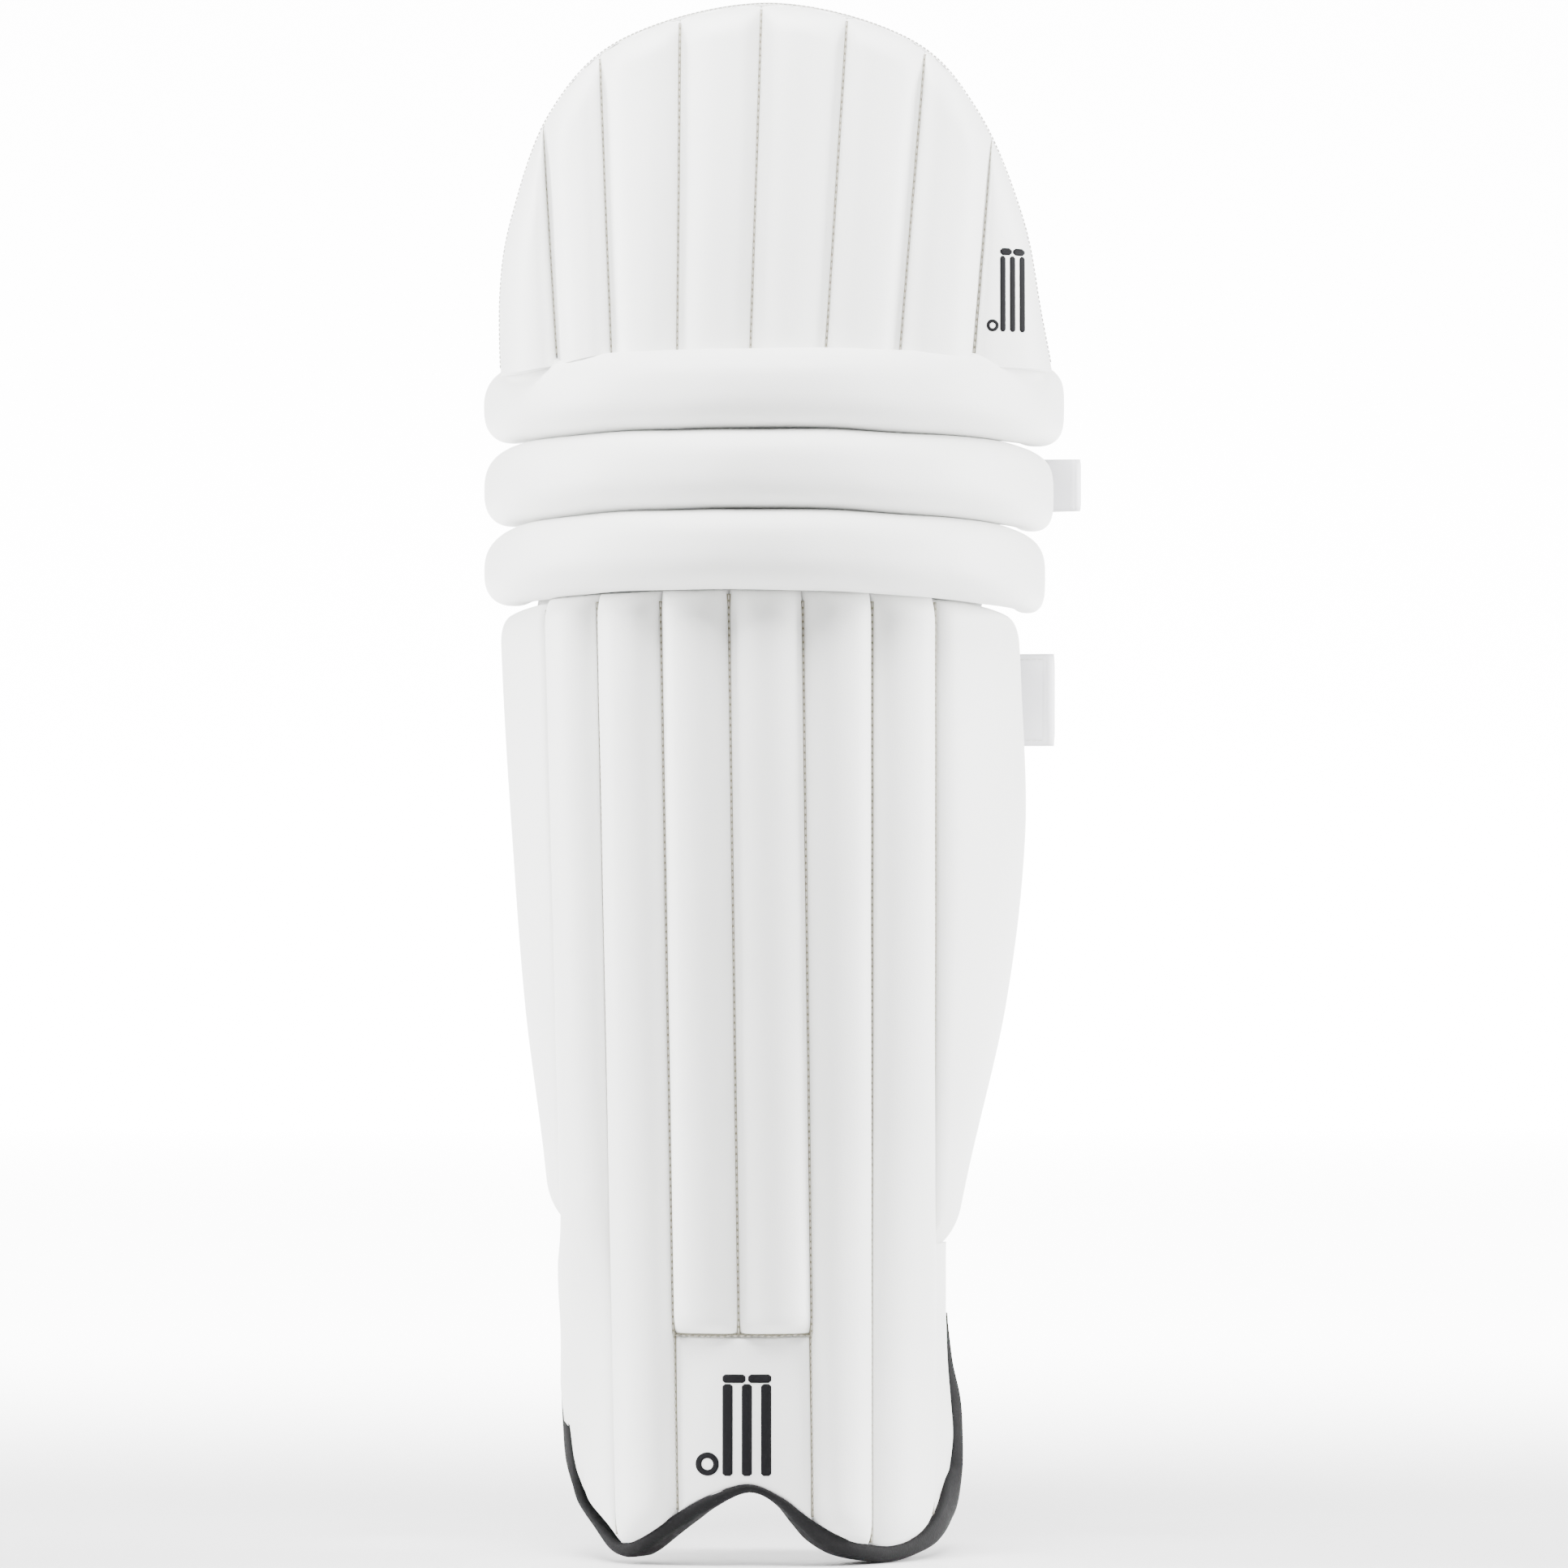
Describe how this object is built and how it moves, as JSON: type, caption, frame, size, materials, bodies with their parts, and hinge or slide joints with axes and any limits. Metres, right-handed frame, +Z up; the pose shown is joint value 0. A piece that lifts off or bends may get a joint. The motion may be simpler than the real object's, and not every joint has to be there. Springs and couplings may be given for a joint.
{
  "type": "cricket leg pad",
  "caption": "Left-leg cricket pad: channelled shin with instep panel and foot binding, side wings, knee rolls that bend, top hat flap and three closing straps.",
  "frame": {"origin": "on the axis of the leg at the level of the foot edge", "axes": "+Z up the leg; the face of the pad looks along -Y and the leg goes in from +Y; +X is the outer side of the left leg"},
  "size_m": [0.2762, 0.252, 0.7051],
  "materials": {
    "cover": "matte",
    "strap": "matte",
    "black_binding": "satin",
    "white_binding": "matte",
    "lining": "matte",
    "filling": "matte",
    "backing": "matte",
    "loop_tape": "matte",
    "hook_tape": "matte"
  },
  "bodies": {
    "shin": {"shin_face_cover": "cover", "shin_rod_1": "filling", "shin_rod_2": "filling", "shin_rod_3": "filling", "shin_rod_4": "filling", "shin_rod_5": "filling", "shin_rod_6": "filling", "instep_panel_cover": "cover", "instep_foam": "filling", "edge_binding": "black_binding", "side_strip": "cover", "side_strip_backing": "backing", "shin_backing": "backing", "shin_lining": "lining", "shin_bolster_inner": "lining", "shin_bolster_outer": "lining", "inner_wing_cover": "cover", "inner_wing_foam": "filling", "inner_wing_lining": "lining", "calf_loop_patch": "loop_tape", "ankle_loop_patch": "loop_tape", "ankle_strap_anchor": "strap"},
    "outer_wing": {"outer_wing_cover": "cover", "outer_wing_foam": "filling", "outer_wing_lining": "lining", "calf_strap_anchor": "strap"},
    "calf_strap": {"calf_strap_webbing": "strap", "calf_strap_pad": "lining", "calf_hook_patch": "hook_tape"},
    "ankle_strap": {"ankle_strap_webbing": "strap", "ankle_hook_patch": "hook_tape"},
    "lower_knee_roll": {"lower_knee_roll_cover": "cover", "lower_knee_roll_core": "filling", "lower_knee_roll_lining": "lining"},
    "middle_knee_roll": {"middle_knee_roll_cover": "cover", "middle_knee_roll_core": "filling", "middle_knee_roll_lining": "lining", "knee_cup_cushion": "lining", "knee_strap_anchor": "strap", "knee_loop_patch": "loop_tape"},
    "upper_knee_roll": {"upper_knee_roll_cover": "cover", "upper_knee_roll_core": "filling", "upper_knee_roll_lining": "lining"},
    "knee_strap": {"knee_strap_webbing": "strap", "knee_strap_pad": "lining", "knee_hook_patch": "hook_tape"},
    "top_hat": {"top_hat_face_cover": "cover", "top_hat_rod_1": "filling", "top_hat_rod_2": "filling", "top_hat_rod_3": "filling", "top_hat_rod_4": "filling", "top_hat_rod_5": "filling", "top_hat_rod_6": "filling", "top_hat_rod_7": "filling", "top_hat_side_foam": "filling", "top_hat_backing": "backing", "top_hat_lining": "lining", "top_hat_edge_binding": "white_binding"}
  },
  "joints": [
    {"name": "knee_bend", "type": "hinge", "parent": "shin", "child": "lower_knee_roll", "pos_m": [0, -0.06, 0.43467], "axis": [-1, 0, 0], "range_deg": [0, 5], "stiffness_Nm_per_rad": 2},
    {"name": "knee_bend_2", "type": "hinge", "parent": "lower_knee_roll", "child": "middle_knee_roll", "pos_m": [0, -0.06, 0.47115], "axis": [-1, 0, 0], "range_deg": [0, 5], "stiffness_Nm_per_rad": 2},
    {"name": "knee_bend_3", "type": "hinge", "parent": "middle_knee_roll", "child": "upper_knee_roll", "pos_m": [0, -0.06, 0.5086], "axis": [-1, 0, 0], "range_deg": [0, 5], "stiffness_Nm_per_rad": 2},
    {"name": "top_hat_bend", "type": "hinge", "parent": "upper_knee_roll", "child": "top_hat", "pos_m": [0, -0.06, 0.54644], "axis": [-1, 0, 0], "range_deg": [0, 5], "stiffness_Nm_per_rad": 2},
    {"name": "calf_strap_open", "type": "hinge", "parent": "outer_wing", "child": "calf_strap", "pos_m": [0.138, 0.0413, 0.3915], "axis": [0, 0, -1], "range_deg": [0, 120]},
    {"name": "wing_open", "type": "hinge", "parent": "shin", "child": "outer_wing", "pos_m": [0.084, -0.079, 0.28], "axis": [0, 0, -1], "range_deg": [0, 12], "stiffness_Nm_per_rad": 0.2},
    {"name": "knee_strap_open", "type": "hinge", "parent": "middle_knee_roll", "child": "knee_strap", "pos_m": [0.15, 0.022, 0.494], "axis": [0, 0, -1], "range_deg": [0, 120]},
    {"name": "ankle_strap_open", "type": "hinge", "parent": "shin", "child": "ankle_strap", "pos_m": [0.0722, 0.0046, 0.084], "axis": [0, 0, -1], "range_deg": [0, 100]}
  ],
  "couplings": [
    {"joint": "knee_bend_2", "follows": "knee_bend", "ratio": 1},
    {"joint": "knee_bend_3", "follows": "knee_bend", "ratio": 1},
    {"joint": "top_hat_bend", "follows": "knee_bend", "ratio": 1},
    {"joint": "wing_open", "follows": "calf_strap_open", "ratio": 0.1}
  ]
}
